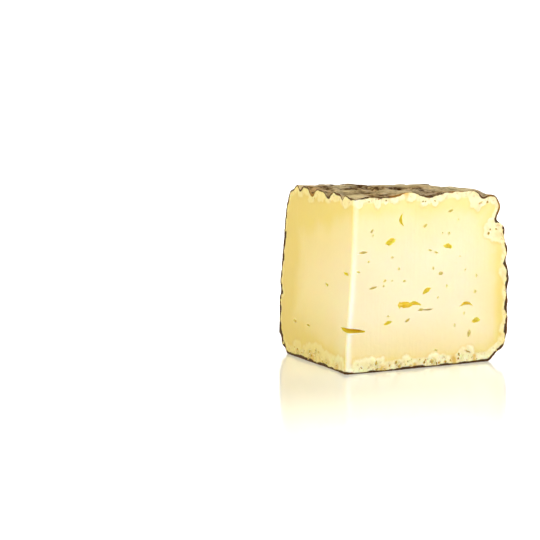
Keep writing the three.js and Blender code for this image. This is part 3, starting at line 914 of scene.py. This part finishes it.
def paste_wall(tree, colour, roughness, glow, glow_colour, glow_depth, gloss_and_painted_highlight=0.5):
    """Ends the material of a wall in the paste, with the light that comes through the paste around it."""
    surface = add(
        tree,
        "BsdfPrincipled",
        {
            "Base Color": colour,
            "Roughness": roughness,
            "IOR": PASTE_IOR,
            "Specular IOR Level": gloss_and_painted_highlight,
            "Subsurface Weight": glow,
            "Subsurface Radius": glow_colour,
            "Subsurface Scale": glow_depth,
        },
    )
    add(tree, "OutputMaterial", {"Surface": surface})


# The wall of an eye was never touched by the knife: smooth and a little glossy. Its deeper golden yellow is
# painted light, for the light that comes through the paste around it, and it glows with that light as well.
eye_wall, tree = empty_material("semi-soft paste, eye wall")
place = add(tree, "TexCoord").node.outputs["Object"]
mottle = add(tree, "TexNoise", {"Vector": place, "Scale": 1 / (2.5 * MM), "Detail": 2})
colour = add(tree, "Mix", {0: mottle, 6: linear("#FCE354"), 7: linear("#FFEE72")}, data_type="RGBA")
paste_wall(tree, colour, 0.32, glow=1, glow_colour=(1.0, 0.8, 0.2), glow_depth=5 * MM)

# The slot is the longest eye. Less light comes through to its wall: its darker gold is painted shade.
slot_wall, tree = empty_material("semi-soft paste, slot wall")
paste_wall(tree, linear("#FBDE4A"), 0.32, glow=0.9, glow_colour=(1.0, 0.8, 0.2), glow_depth=4 * MM)

# A pinhole is the same wall in a hole too small for light to play in, and its pale olive is painted shade.
pinhole_wall, tree = empty_material("semi-soft paste, pinhole wall")
paste_wall(tree, linear("#EEE298"), 0.5, glow=0.8, glow_colour=(1.0, 0.9, 0.4), glow_depth=3 * MM)

# A pit between the grains has a ragged, dull wall, olive to brown from the mould that grew in from the rind.
pit_wall, tree = empty_material("semi-soft paste, mouldy pit")
place = add(tree, "TexCoord").node.outputs["Object"]
mottle = add(tree, "TexNoise", {"Vector": place, "Scale": 1 / (2 * MM), "Detail": 2})
mould = add(tree, "MapRange", {"Value": mottle, "From Min": 0.4, "From Max": 0.6})
colour = add(tree, "Mix", {0: mould, 6: linear("#F0DF96"), 7: linear("#D0B258")}, data_type="RGBA")
paste_wall(tree, colour, 0.7, glow=0.7, glow_colour=(1.0, 0.8, 0.35), glow_depth=2.6 * MM, gloss_and_painted_highlight=0.3)

bubbles = bpy.data.collections.new("bubbles")
bpy.context.scene.collection.children.link(bubbles)
bpy.ops.object.select_all(action="DESELECT")
bpy.ops.mesh.primitive_uv_sphere_add(segments=24, ring_count=14, radius=1)
bubble = bpy.context.object
bpy.ops.object.select_all(action="DESELECT")
bpy.ops.mesh.primitive_ico_sphere_add(subdivisions=2, radius=1)
small_bubble = bpy.context.object


def open_bubble(model, wall, cut, row, depth, rough):
    """Copies a bubble to its place on a cut, with its size, bend and tilt, and some chance in its wall."""
    from_tip, height, length, thickness, tilt, bend = row
    copy = model.copy()
    copy.data = model.data.copy()
    bubbles.objects.link(copy)
    along = heading_vector(cut)
    through = UP.cross(along)
    turn = math.radians(tilt)
    middle = place_at(cut, from_tip * MM, height * MM)
    for vertex in copy.data.vertices:
        x, y, z = vertex.co * (1 + rough * noise.noise(WALL_WAVES * vertex.co + WALL_SEED * middle))
        pinch = 1 - POINTED_ENDS * x * x
        across = x * length / 2
        up = pinch * z * thickness / 2 + bend * (0.5 - x * x)
        level = across * math.cos(turn) - up * math.sin(turn)
        rise = across * math.sin(turn) + up * math.cos(turn)
        vertex.co = middle + MM * (level * along + rise * UP + pinch * y * depth * through)
    copy.data.materials.append(wall)


chance = random.Random(CHANCE_SEED)
for cut, eyes, pits in ((RIGHT_CUT, RIGHT_EYES, RIGHT_PITS), (LEFT_CUT, LEFT_EYES, LEFT_PITS)):
    for row in eyes:
        wall = slot_wall if row[2] > SLOT_LENGTH else eye_wall
        if row[2] * row[3] < PINHOLE_AREA:
            wall = pinhole_wall
        open_bubble(bubble, wall, cut, row, min(DEEPEST_EYE, EYE_DEPTH * row[2]), EYE_ROUGHNESS)
    for from_tip, height, length, thickness in pits:
        row = (from_tip, height, length, thickness, chance.uniform(-PIT_TILT, PIT_TILT), 0)
        depth = PIT_DEPTH * thickness + LEAST_PIT_DEPTH
        open_bubble(small_bubble, pit_wall, cut, row, depth, PIT_ROUGHNESS)
    opened = 0
    while opened < LOOSE_PITS:
        from_tip = chance.uniform(*LOOSE_PIT_REACH)
        heights = [chance.uniform(*band) for band in (FOOT_HEIGHTS, FOOT_HEIGHTS, TOP_HEIGHTS)]
        height = chance.choice(heights)
        depth = under_rind(place_at(cut, from_tip * MM, height * MM)) / MM
        length = chance.uniform(*LOOSE_PIT_LENGTH)
        furthest = FURTHEST_AT_FOOT if height <= FOOT_HEIGHTS[1] else FURTHEST_AT_TOP
        if NEAREST_RIND < depth < furthest:
            thickness = length * chance.uniform(*LOOSE_PIT_THICKNESS)
            row = (from_tip, height, length, thickness, chance.uniform(0, 180), 0)
            open_bubble(small_bubble, pit_wall, cut, row, LOOSE_PIT_DEPTH * length, PIT_ROUGHNESS)
            opened += 1

split = bubble.copy()
split.data = bubble.data.copy()
bubbles.objects.link(split)
along = heading_vector(RIGHT_CUT)
through = UP.cross(along)
middle = place_at(RIGHT_CUT, 0, SPLIT_HEIGHT * MM)
for vertex in split.data.vertices:
    x, y, z = vertex.co * (1 + SPLIT_ROUGHNESS * noise.noise(SPLIT_WAVES * vertex.co))
    level = SPLIT_REACH * (x * along + y * through)
    vertex.co = middle + MM * (level + (z * SPLIT_THICKNESS / 2 + (y - x) * SPLIT_FALL) * UP)
split.data.materials.append(eye_wall)

hollows = tomme.modifiers.new("opened bubbles", "BOOLEAN")
hollows.operation = "DIFFERENCE"
hollows.solver = "MANIFOLD"
hollows.material_mode = "TRANSFER"
hollows.operand_type = "COLLECTION"
hollows.collection = bubbles
bpy.ops.object.select_all(action="DESELECT")
bpy.context.view_layer.objects.active = tomme
bpy.ops.object.modifier_apply(modifier=hollows.name)
for piece in list(bubbles.objects) + [bubble, small_bubble]:
    bpy.data.objects.remove(piece)
bpy.data.collections.remove(bubbles)

# The strokes leave a few slivers folded flat at the edge of the rind, and some pits stay shut in the paste.
# Both go: a sliver has an edge that no other face shares, and a shut pit isn't joined to the top. What is
# left is one closed skin.
tomme.select_set(True)
pick(tomme, "FACE", lambda face: True)
bpy.ops.mesh.quads_convert_to_tris()
bpy.ops.object.mode_set(mode="OBJECT")
uses = Counter(key for face in tomme.data.polygons for key in face.edge_keys)
pick(tomme, "FACE", lambda face: min(uses[key] for key in face.edge_keys) == 1)
bpy.ops.mesh.delete(type="FACE")
bpy.ops.object.mode_set(mode="OBJECT")
highest = max(vertex.co.z for vertex in tomme.data.vertices)
pick(tomme, "VERT", lambda corner: corner.z == highest)
bpy.ops.mesh.select_linked()
bpy.ops.mesh.select_all(action="INVERT")
bpy.ops.mesh.delete(type="VERT")
bpy.ops.object.mode_set(mode="OBJECT")

# The wedge in its place
# The wedge stands on its base with its tip to the front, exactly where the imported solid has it. Its lumps
# soften towards the solid's box, so that none stands out of it. Each vertex keeps its depth under the rind,
# which the colours of the paste follow.
TIP = Vector((0.3265, -47.3222, 0)) * MM
CRISP_ANGLE = math.radians(42)
ROOM = 0.8 * MM


def kept_below(values, limit):
    """Values that soften towards a limit over the last stretch, so that nothing is cut off flat."""
    over = np.maximum(values - (limit - ROOM), 0)
    return np.minimum(values, limit - ROOM) + ROOM * (1 - np.exp(-over / ROOM))


places = vertex_places(tomme.data)
add_values(tomme.data, "under_rind", [under_rind(Vector(place)) / MM for place in places])
places += np.array(TIP)
places[:, 0] = kept_below(places[:, 0], cad_box[1][0])
places[:, 0] = -kept_below(-places[:, 0], -cad_box[0][0])
places[:, 2] = kept_below(places[:, 2], cad_box[1][2])
places = np.clip(places, np.array(cad_box[0]), np.array(cad_box[1]))
tomme.data.vertices.foreach_set("co", places.ravel())
tomme.data.update()
bpy.ops.object.shade_smooth_by_angle(angle=CRISP_ANGLE)
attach(tomme, "root")
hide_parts("tomme_wedge")

# The table
# A light table: a sheet of white acrylic with a satin face, lit from below, less so round the wedge. No view
# shows its edge.
TABLE_SIZE = 60
NEAR_GLOW = 0.16
FAR_GLOW = 0.62
GLOW_RISES_FROM = 75 * MM
GLOW_RISES_TO = 300 * MM

bpy.ops.object.select_all(action="DESELECT")
bpy.ops.mesh.primitive_plane_add(size=TABLE_SIZE, location=(0, 0, 0))
table = bpy.context.object
table.name = "table"
acrylic, tree = empty_material("white acrylic, satin")
place = add(tree, "TexCoord").node.outputs["Object"]
away = add(tree, "VectorMath", {0: place}, operation="LENGTH").node.outputs["Value"]
glow = add(
    tree,
    "MapRange",
    {
        "Value": away,
        "From Min": GLOW_RISES_FROM,
        "From Max": GLOW_RISES_TO,
        "To Min": NEAR_GLOW,
        "To Max": FAR_GLOW,
    },
    **SOFTLY,
)
surface = add(
    tree,
    "BsdfPrincipled",
    {
        "Base Color": linear("#FDFDFC"),
        "Roughness": 0.13,
        "IOR": 1.49,
        "Specular IOR Level": 0.3,
        "Emission Color": (1, 1, 1, 1),
        "Emission Strength": glow,
    },
)
add(tree, "OutputMaterial", {"Surface": surface})
table.data.materials.append(acrylic)

# The studio
# White walls all round, the back one lit, a low lamp to the right that gives the right face its satin sheen,
# a weak one in front of that face that lights the eyes, soft lamps above and behind, and a yellow reflector
# to the left.
WALL_LIGHT = 0.05
WALL_WHITE = 1.02
BACK_WALL_WHITE = 1.5
BACK_WALL_WAY = (-0.26, 0.965, 0)

studio = bpy.data.worlds.new("white studio")
bpy.context.scene.world = studio
studio.use_nodes = True
tree = studio.node_tree
tree.nodes.clear()
ray = add(tree, "LightPath").node.outputs
seen = add(tree, "Math", {0: ray["Is Camera Ray"], 1: ray["Is Glossy Ray"]}, operation="MAXIMUM")
way = add(tree, "TexCoord").node.outputs["Generated"]
back = add(tree, "VectorMath", {0: way, 1: BACK_WALL_WAY}, operation="DOT_PRODUCT")
white = add(
    tree,
    "MapRange",
    {"Value": back, "From Min": 0.7, "From Max": 0.95, "To Min": WALL_WHITE, "To Max": BACK_WALL_WHITE},
)
strength = add(tree, "MapRange", {"Value": seen, "To Min": WALL_LIGHT, "To Max": white})
walls = add(tree, "Background", {"Color": (1, 1, 1, 1), "Strength": strength})
add(tree, "OutputWorld", {"Surface": walls})


def lamp(name, stand, size, power, colour):
    """A soft rectangular lamp that points at the middle of the wedge."""
    stand = Vector(stand)
    aim = (Vector((0, 0, WHEEL_HEIGHT / 2)) - stand).to_track_quat("-Z", "Y").to_euler()
    bpy.ops.object.light_add(type="AREA", location=stand, rotation=aim)
    light = bpy.context.object
    light.name = name
    light.data.shape = "RECTANGLE"
    light.data.size, light.data.size_y = size
    light.data.energy = power
    light.data.color = colour
    light.visible_camera = False


# Each lamp's place and size are in metres, and its power in watts.
lamp("sheen lamp", (1.0, 0.0, 0.045), (0.4, 0.12), 3.75, (1, 1, 1))
lamp("front lamp", (0.72, -0.78, 0.2), (0.4, 0.36), 0.8, (1, 1, 1))
lamp("top lamp", (0, -0.25, 1.15), (0.9, 0.9), 6.7, (1, 1, 1))
lamp("back lamp", (0.15, 0.9, 0.5), (0.7, 0.6), 5.5, (1, 1, 1))
lamp("yellow reflector", (-0.3, -0.6, 0.25), (0.35, 0.3), 2.0, (1, 0.92, 0.3))

# The camera
# It looks a little down at the wedge from in front of its right face, from about 1.3 m with a long lens. The
# tip, half way up, stands to the right of the aim and just below it.
CAMERA_TURN = math.radians(15.61)
CAMERA_RISE = math.radians(5.96)
CAMERA_REACH = 1.28
TIP_RIGHT_OF_AIM = 0.028518 * CAMERA_REACH
TIP_BELOW_AIM = 0.005894 * CAMERA_REACH
LENS_MM = 189.57
SENSOR_MM = 36

tip = TIP + WHEEL_HEIGHT / 2 * UP
rightwards = Vector((math.cos(CAMERA_TURN), math.sin(CAMERA_TURN), 0))
level_back = Vector((math.sin(CAMERA_TURN), -math.cos(CAMERA_TURN), 0))
backwards = math.cos(CAMERA_RISE) * level_back + math.sin(CAMERA_RISE) * UP
upwards = backwards.cross(rightwards)
stand = tip + CAMERA_REACH * backwards
aim = tip - TIP_RIGHT_OF_AIM * rightwards + TIP_BELOW_AIM * upwards
bpy.ops.object.camera_add(location=stand, rotation=(aim - stand).to_track_quat("-Z", "Y").to_euler())
camera = bpy.context.object
camera.data.lens = LENS_MM
camera.data.sensor_width = SENSOR_MM
camera.data.clip_end = 2 * TABLE_SIZE
bpy.context.scene.camera = camera
bpy.context.scene.view_settings.view_transform = "Standard"
